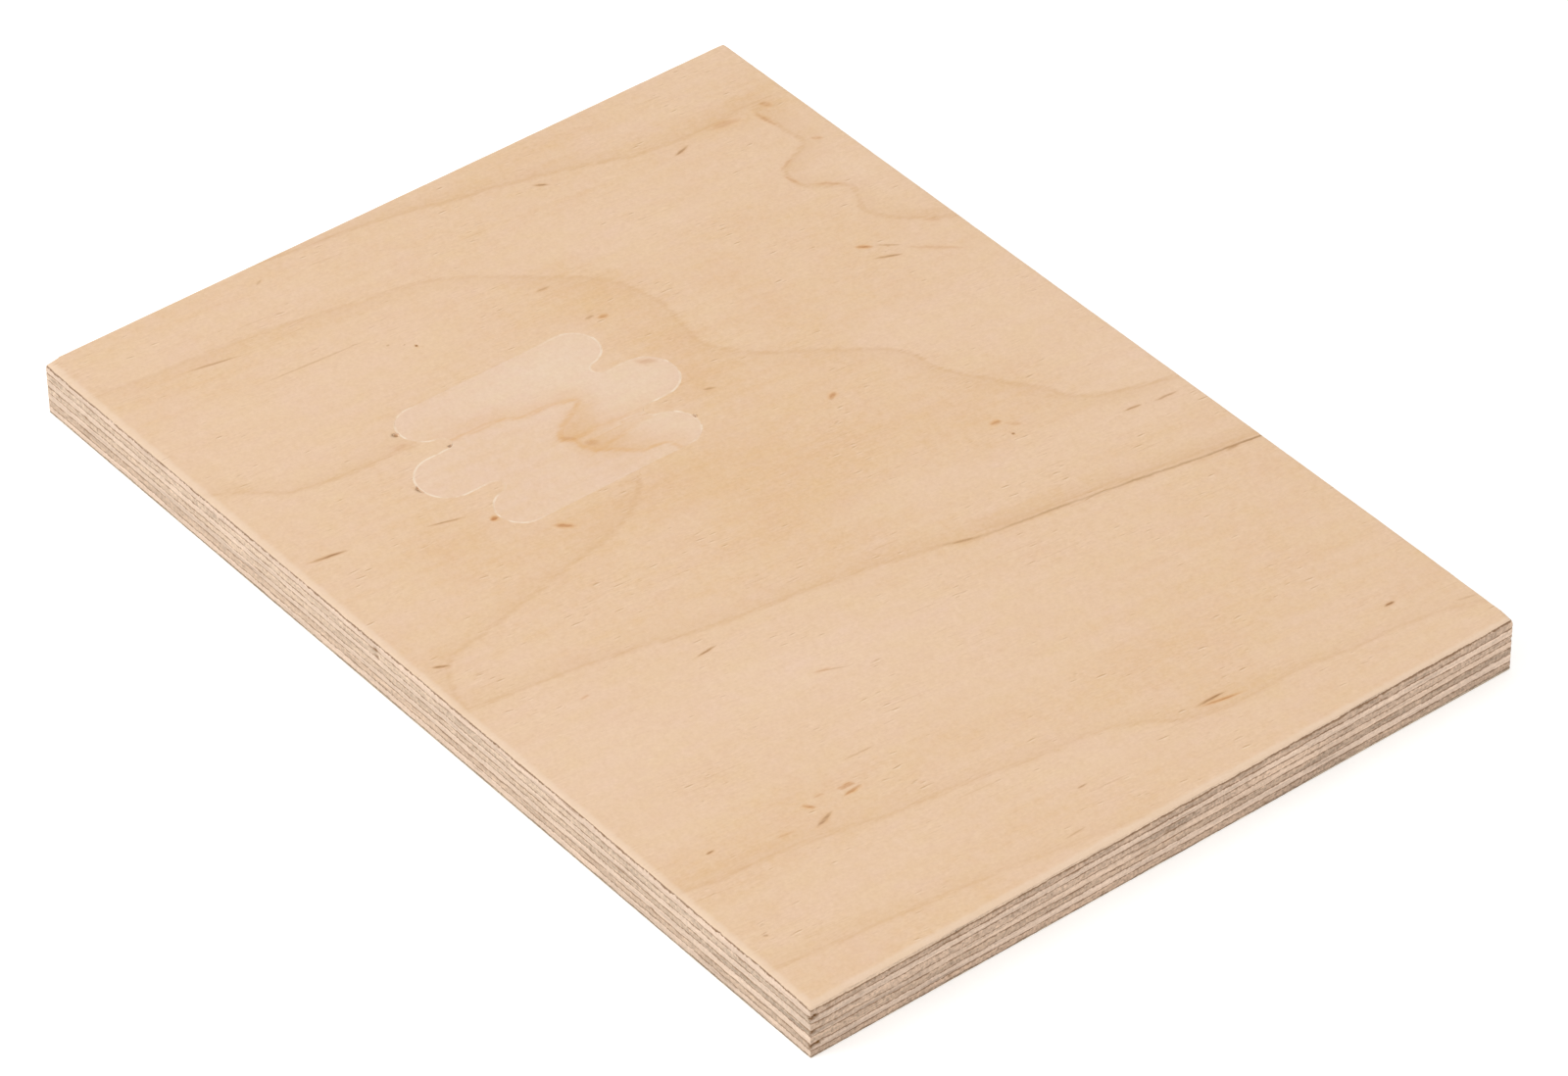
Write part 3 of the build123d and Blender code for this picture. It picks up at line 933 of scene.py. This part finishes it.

    # Bark-coloured marks, each a soft streak broken up by the fibres, with a warm rim.
    # On the face, four dark ones are painted shade in the bottoms of the open spots.
    for mark, core_hex, rim_hex in (
        ("dark_mark", "#8a5726", "#d09c5c"),
        ("amber_mark", "#ab6016", "#dda153"),
    ):
        parts = add_node(tree, "SeparateXYZ", {0: stored(tree, mark, "Vector")})
        along, across, strength = (parts.outputs[axis] for axis in "XYZ")
        flat = {"X": along, "Y": layered(tree, across, (wobble, 0.9))}
        flat = add_node(tree, "CombineXYZ", flat)
        radius = add_node(tree, "VectorMath", {0: flat}, operation="LENGTH")
        core = ramp(tree, radius.outputs["Value"], 1.15, 0.35, 0.0, 0.62)
        core = calc(tree, "MULTIPLY", calc(tree, "MULTIPLY", core, broken), strength)
        wide = times(tree, flat, (1 / 1.2, 1 / 2.2, 0))
        radius = add_node(tree, "VectorMath", {0: wide}, operation="LENGTH")
        rim = ramp(tree, radius.outputs["Value"], 1.1, 0.3, 0.0, 0.4)
        rim = calc(tree, "MULTIPLY", rim, strength)
        wood = blend(tree, rim, wood, linear(rim_hex))
        wood = blend(tree, core, wood, linear(core_hex))

    # Cut fibres 0.3 mm wide, paler, along the seam between the sheet and the plug
    seam = ramp(tree, stored(tree, "seam_distance"), 0.4, 0.1)
    seam = calc(tree, "MULTIPLY", seam, stored(tree, "seam_strength"))
    chipped = ramp(tree, texture(tree, place, 0.28, 3.0), 0.42, 0.58, 0.12, 1.0, "LINEAR")
    seam = calc(tree, "MULTIPLY", seam, chipped)
    wood = blend(tree, seam, wood, linear("#f5dfc6"))

    # The arris of the two near edges, paler where it was sanded last, out to 2.6 mm
    parts = add_node(tree, "SeparateXYZ", {0: place})
    right = calc(tree, "SUBTRACT", half_length, parts.outputs["X"])
    left = calc(tree, "ADD", half_width, parts.outputs["Y"])
    inside = layered(tree, calc(tree, "MINIMUM", right, left), (wobble, 0.6))
    arris = ramp(tree, inside, 2.6, 1.3, 0.0, edge_light)
    wood = blend(tree, arris, wood, linear("#f2dac3"))

    # A dry sanded surface, a little smoother along the fibres
    roughness = ramp(tree, fibres, 0.3, 0.7, 0.56, 0.68, "LINEAR")
    wood_surface(tree, wood, roughness, 0.3, fibres, 0.12, 0.05)
    return material


def shape_faced_veneer(veneer, number, upward):
    """Rounds a faced veneer's corners, eases its outer arris and waves its glue line."""
    outer = thickness if upward else 0.0
    for vertex in veneer.data.vertices:
        x, y, z = vertex.co / mm
        on_outer = abs(z - outer) < 0.01
        new_x, new_y, inside = round_corner(x, y)
        if on_outer and upward:
            height = outer - face_drop(new_x, new_y, inside)
        elif on_outer:
            height = outer + 0.1 * max(0.0, 1 - inside / 0.5) ** 2
        elif inside < cap_margin:
            height = glue_height(number if upward else number + 1, new_x, new_y)
        else:
            height = glue_heights[number if upward else number + 1]
        place = Vector((new_x, new_y, height))
        if inside < 1.0:
            direction = outward(new_x, new_y)
            end_grain = abs(direction.y) > 0.7
            border = 0.0 if on_outer else 1.0
            recess = rim_recess(new_x, new_y, height, border, end_grain)
            place -= direction * recess * (1 - inside)
        vertex.co = place * mm


def plug_prism(grow, low, high):
    """The plug's outline as an upright prism, grown sideways, from low to high."""
    prism = frame["nodes"]["repair_plug"].copy()
    prism.data = prism.data.copy()
    prism.parent = None
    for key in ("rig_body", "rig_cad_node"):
        if key in prism:
            del prism[key]
    prism.name = "plug_prism"
    bpy.context.scene.collection.objects.link(prism)
    pick(prism)
    bpy.ops.object.mode_set(mode="EDIT")
    bpy.ops.mesh.select_all(action="SELECT")
    bpy.ops.mesh.remove_doubles(threshold=0.001 * mm)
    choose(prism, "FACE", lambda f: abs(f.normal.z) > 0.5)
    bpy.ops.mesh.delete(type="FACE")
    bpy.ops.mesh.select_all(action="SELECT")
    if grow:
        bpy.ops.transform.shrink_fatten(value=grow * mm, use_even_offset=True)
    bpy.ops.mesh.select_mode(type="EDGE")
    middle = (glue_heights[8] + thickness) / 2 * mm
    for upper in (False, True):
        choose(prism, "EDGE", lambda e: e.is_boundary and (e.verts[0].co.z > middle) == upper)
        bpy.ops.mesh.edge_face_add()
    close_up()
    for vertex in prism.data.vertices:
        vertex.co.z = (high if vertex.co.z > middle else low) * mm
    return prism


def mark_seam(piece, tool):
    """Stores how far each vertex is from the tool's outline, and how pale the seam is
    there. It is palest round the ends of the lobes."""
    top = max(vertex.co.z for vertex in tool.data.vertices)
    places = np.array([vertex.co.xy for vertex in piece.data.vertices]) / mm
    nearest = np.full(len(places), 9.0)
    for edge in tool.data.edges:
        start, end = (tool.data.vertices[i].co for i in edge.vertices)
        if min(start.z, end.z) < top - 0.01 * mm:
            continue
        start, run = np.array(start.xy) / mm, np.array((end - start).xy) / mm
        along = np.clip((places - start) @ run / max(run @ run, 1e-9), 0, 1)
        away = places - (start + along[:, None] * run)
        nearest = np.minimum(nearest, np.hypot(away[:, 0], away[:, 1]))
    set_attribute(piece, "seam_distance", nearest)
    middle = (plug_low.y + plug_high.y) / 2 / mm
    strength = (np.abs(places[:, 1] - middle) - 16) / 10
    set_attribute(piece, "seam_strength", np.clip(strength, 0.1, 1))


def cut(piece, tool, operation):
    """Cuts a piece with a closed tool shape, then throws the tool away."""
    modifier = piece.modifiers.new("cut", "BOOLEAN")
    modifier.operation = operation
    modifier.solver = "EXACT"
    modifier.object = tool
    pick(piece)
    bpy.ops.object.modifier_apply(modifier=modifier.name)
    mark_seam(piece, tool)
    bpy.data.objects.remove(tool)


def two_finishes(piece, face_material, rim_material, upward):
    """The sanded finish on the outer side and arris, the sawn one on the rim."""
    piece.data.materials.clear()
    piece.data.materials.append(face_material)
    piece.data.materials.append(rim_material)
    for polygon in piece.data.polygons:
        facing = polygon.normal.z if upward else -polygon.normal.z
        polygon.material_index = 0 if facing > 0.5 else 1


def plain_rim(piece, line, upward):
    """Stores a faced veneer's distance from its glue line, and no stains or patches."""
    nothing = [0.0] * len(piece.data.vertices)
    set_attribute(piece, "stain", nothing)
    set_attribute(piece, "rim_tone", nothing)
    places = [vertex.co / mm for vertex in piece.data.vertices]
    above = [place.z - glue_height(line, place.x, place.y) for place in places]
    set_attribute(piece, "glue_distance", [max(0.0, gap if upward else -gap) for gap in above])


# Open spots that the cutter left beside the lobes, cut as shallow holes; their dark
# bottoms are painted shade, from four of the dark marks on the face:
# place, lengths across and along the grain
open_spots = [
    (-71.6, -55.5, 1.5, 1.6), (-51.3, -63.4, 2.8, 1.1), (-60.0, -47.9, 0.9, 1.4),
    (-32.1, 4.4, 1.1, 0.9),
]
spot_depth = 0.4

plug_low, plug_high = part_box("repair_plug")
face_number = stack.index("face_veneer")
face = faced_veneer("face_veneer", thickness, glue_heights[face_number])
shape_faced_veneer(face, face_number, True)
for x, y, across, along in open_spots:
    bpy.ops.object.select_all(action="DESELECT")
    middle = (x * mm, y * mm, (thickness + 1 - spot_depth) * mm)
    bpy.ops.mesh.primitive_cylinder_add(
        vertices=20, radius=0.5, depth=2, location=middle, scale=(across * mm, along * mm, mm))
    bpy.ops.object.transform_apply(location=True, rotation=True, scale=True)
    cut(face, bpy.context.object, "DIFFERENCE")
cut(face, plug_prism(0.08, glue_heights[face_number] - 1, thickness + 1), "DIFFERENCE")
paint_figure(face, main_lines, other_lines, dark_marks_and_spot_shade, amber_marks, face_patches)
plain_rim(face, face_number, True)
face_finish = sanded_birch(
    "birch_face_sanded", "#ebcbae", "#e7c5a3", "#e2bb90", "#c8975a", 0.25, 0.42, 1.0)
face_rim = sawn_birch("birch_face_sawn", "Y", "#ecceb2", "#e0c5ab", "#9d7f66", 31.0)
two_finishes(face, face_finish, face_rim, True)
smooth(face)
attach(face, "root")
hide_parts("face_veneer")


# Repair plug. Where a knot fell out, a die punched a clean hole and a matching plug of
# sound veneer was glued in, from another log, so it is paler, with its own growth line.
plug_step = 0.8
plug_lines_a = [
    ([(-47.5, -61.8), (-40, -61.3), (-34, -60.8), (-30.5, -59.5), (-28, -58), (-22, -57.8),
      (-17.5, -57), (-13.5, -55), (-16, -52.5), (-19.5, -50.6), (-22.5, -49), (-25, -46.5),
      (-25.6, -44.8), (-23.5, -43.2), (-23.2, -40.5), (-22, -37), (-19.5, -35), (-17.2, -33.4),
      (-15.8, -31.5), (-13, -29.7), (-9.3, -29), (-6.2, -27.6), (-5.2, -24)], 0.9, 1.0),
]
plug_lines_b = [
    ([(-23, -43.8), (-15, -43.2), (-9, -42.8), (-3, -42.2)], 0.9, 0.7),
    ([(-20, -36.5), (-16.4, -37.3), (-12, -38), (-8, -39.2), (-4, -39)], 0.7, 0.5),
]
plug_amber = [
    (-21, -39.5, 4.5, 2.4, 35, 0.3), (8.4, -56.4, 6.0, 2.0, 35, 0.35),
    (-24.5, -44.5, 4.5, 2.0, 40, 0.3),
]
plug_patches = [
    (-68, -12, 7, 12, -0.9), (-50, 2, 7, 9, -0.8), (-34, -4, 5, 6, -0.6), (-42, -20, 7, 4, 1.2),
    (-52, -15, 5, 3, 0.7), (-34, -14, 4, 5, 0.9), (-45, -45, 12, 14, 0.5), (-62, -40, 6, 18, 0.2),
]

margin = 2.0
plug_rows = round(((plug_high.x - plug_low.x) / mm + 2 * margin) / plug_step)
plug_columns = round(((plug_high.y - plug_low.y) / mm + 2 * margin) / plug_step)
bpy.ops.object.select_all(action="DESELECT")
bpy.ops.mesh.primitive_grid_add(x_subdivisions=plug_rows, y_subdivisions=plug_columns, size=1)
plug = named("repair_plug")
for vertex in plug.data.vertices:
    vertex.co.x = (plug_low.x + plug_high.x) / 2 + vertex.co.x * plug_rows * plug_step * mm
    vertex.co.y = (plug_low.y + plug_high.y) / 2 + vertex.co.y * plug_columns * plug_step * mm
    vertex.co.z = plug_high.z
bpy.ops.object.mode_set(mode="EDIT")
bpy.ops.mesh.select_all(action="SELECT")
thick = (0, 0, plug_low.z - plug_high.z)
bpy.ops.mesh.extrude_region_move(TRANSFORM_OT_translate={"value": thick})
close_up()
cut(plug, plug_prism(0.06, plug_low.z / mm - 1, plug_high.z / mm + 1), "INTERSECT")
paint_figure(plug, plug_lines_a, plug_lines_b, [], plug_amber, plug_patches)
plug_finish = sanded_birch(
    "birch_plug_sanded", "#ebd0b3", "#e9c9ad", "#e4c09a", "#d9a052", 0.36, 0.0, 0.3)
plug.data.materials.clear()
plug.data.materials.append(plug_finish)
smooth(plug)
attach(plug, "root")
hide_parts("repair_plug")


# Back veneer. A plainer veneer, peeled and sanded like the face, with its grain the
# same way. It faces down and is hidden, and only its thin rim shows. The rim's colours
# are its own grey-brown, darkened further with painted shade where the sheet stands
# on the floor.
back_lines_a = [
    ([(-106, -96), (-60, -88), (-20, -86), (25, -78), (60, -79), (106, -70)], 0.5, 0.5),
    ([(-106, -22), (-70, -12), (-25, -8), (10, 4), (55, 8), (106, 20)], 0.6, 0.6),
    ([(-106, 74), (-50, 80), (5, 82), (50, 92), (106, 96)], 0.5, 0.7),
]
back_lines_b = [
    ([(-106, -60), (-40, -52), (20, -44), (70, -43), (106, -36)], 0.35, 0.45),
    ([(-106, 30), (-50, 40), (0, 42), (60, 54), (106, 58)], 0.4, 0.35),
    ([(-106, 122), (-30, 126), (40, 132), (106, 134)], 0.4, 0.4),
]
back_dark = [
    (-40, -70, 6, 0.8, 8, 0.7), (52, -20, 8, 0.7, 6, 0.7), (20, 60, 5, 0.9, 12, 0.8),
    (-70, 100, 9, 0.7, 4, 0.6), (80, 110, 4, 0.8, 10, 0.7), (-10, -120, 5, 0.8, 5, 0.6),
]
back_amber = [
    (10, 20, 4, 1.4, 20, 0.7), (-60, 10, 3.5, 1.2, 10, 0.6), (75, -95, 4, 1.1, 8, 0.6),
]
back_patches = [
    (-60, -40, 25, 30, 0.4), (30, 40, 30, 25, -0.5), (90, -60, 25, 25, 0.4),
    (-110, 60, 20, 30, -0.4),
]

back = faced_veneer("back_veneer", 0.0, glue_heights[1])
shape_faced_veneer(back, 0, False)
paint_figure(back, back_lines_a, back_lines_b, back_dark, back_amber, back_patches)
plain_rim(back, 1, False)
back_finish = sanded_birch(
    "birch_back_sanded", "#e6c8a8", "#dfbd98", "#d6ae82", "#bd8f5e", 0.3, 0.0, 1.2)
# Rim colours greyer and darker than the other veneers': partly its own grey-brown, partly painted
# shade along the bottom edge
back_rim_with_painted_shade = sawn_birch("birch_back_sawn_with_painted_shade", "Y", "#cdbba5", "#bba993", "#8b7a68", 47.0)
two_finishes(back, back_finish, back_rim_with_painted_shade, False)
smooth(back)
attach(back, "root")
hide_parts("back_veneer")


# Floor, a plain pale studio table. Camera rays see it a little brighter than it is, so
# that it meets the white background while it keeps the sheet's soft shadow.
floor_lift = 0.42


def seen_rays(tree):
    """1 for the rays that the camera or a reflection sends out, 0 for the rest."""
    rays = add_node(tree, "LightPath").outputs
    return calc(tree, "MAXIMUM", rays["Is Camera Ray"], rays["Is Glossy Ray"])


bpy.ops.object.select_all(action="DESELECT")
bpy.ops.mesh.primitive_plane_add(size=12, location=(0, 0, -0.05 * mm))
floor = bpy.context.object
floor.name = "floor"
floor_paint = bpy.data.materials.new("matt_white_paper")
tree = empty_tree(floor_paint)
paper = add_node(tree, "BsdfDiffuse", {"Color": linear("#ededeb")})
brighter = calc(tree, "MULTIPLY", seen_rays(tree), floor_lift)
lift = add_node(tree, "Emission", {"Color": (1, 1, 1, 1), "Strength": brighter})
both = add_node(tree, "AddShader", {0: paper, 1: lift})
add_node(tree, "OutputMaterial", {"Surface": both})
floor.data.materials.append(floor_paint)

# Light. A wide soft box stands to the left of the camera, a weaker one to the right,
# and a pale room fills the rest. The top and the left edge are bright, the right less.
room_light = 0.7
room = bpy.data.worlds.new("pale_room")
bpy.context.scene.world = room
tree = empty_tree(room)
white = (1.0, 1.0, 1.0, 1.0)
lighting = add_node(tree, "Background", {"Color": white, "Strength": room_light})
backdrop = add_node(tree, "Background", {"Color": white, "Strength": 1.0})
mixed = add_node(tree, "MixShader", {0: seen_rays(tree), 1: lighting, 2: backdrop})
add_node(tree, "OutputWorld", {"Surface": mixed})

# Each soft box: place, side and power, in metres and watts
soft_boxes = {
    "key_light": ((-0.9, -1.9, 1.7), 1.4, 29.0),
    "fill_light": ((2.0, 0.2, 1.5), 1.2, 6.5),
}
for name, (place, size, power) in soft_boxes.items():
    lamp = bpy.data.lights.new(name, "AREA")
    lamp.shape = "SQUARE"
    lamp.size = size
    lamp.energy = power
    box = bpy.data.objects.new(name, lamp)
    bpy.context.scene.collection.objects.link(box)
    box.location = place
    box.rotation_mode = "QUATERNION"
    box.rotation_quaternion = (-Vector(place)).to_track_quat("-Z", "Y")

bpy.context.scene.view_settings.view_transform = "Standard"
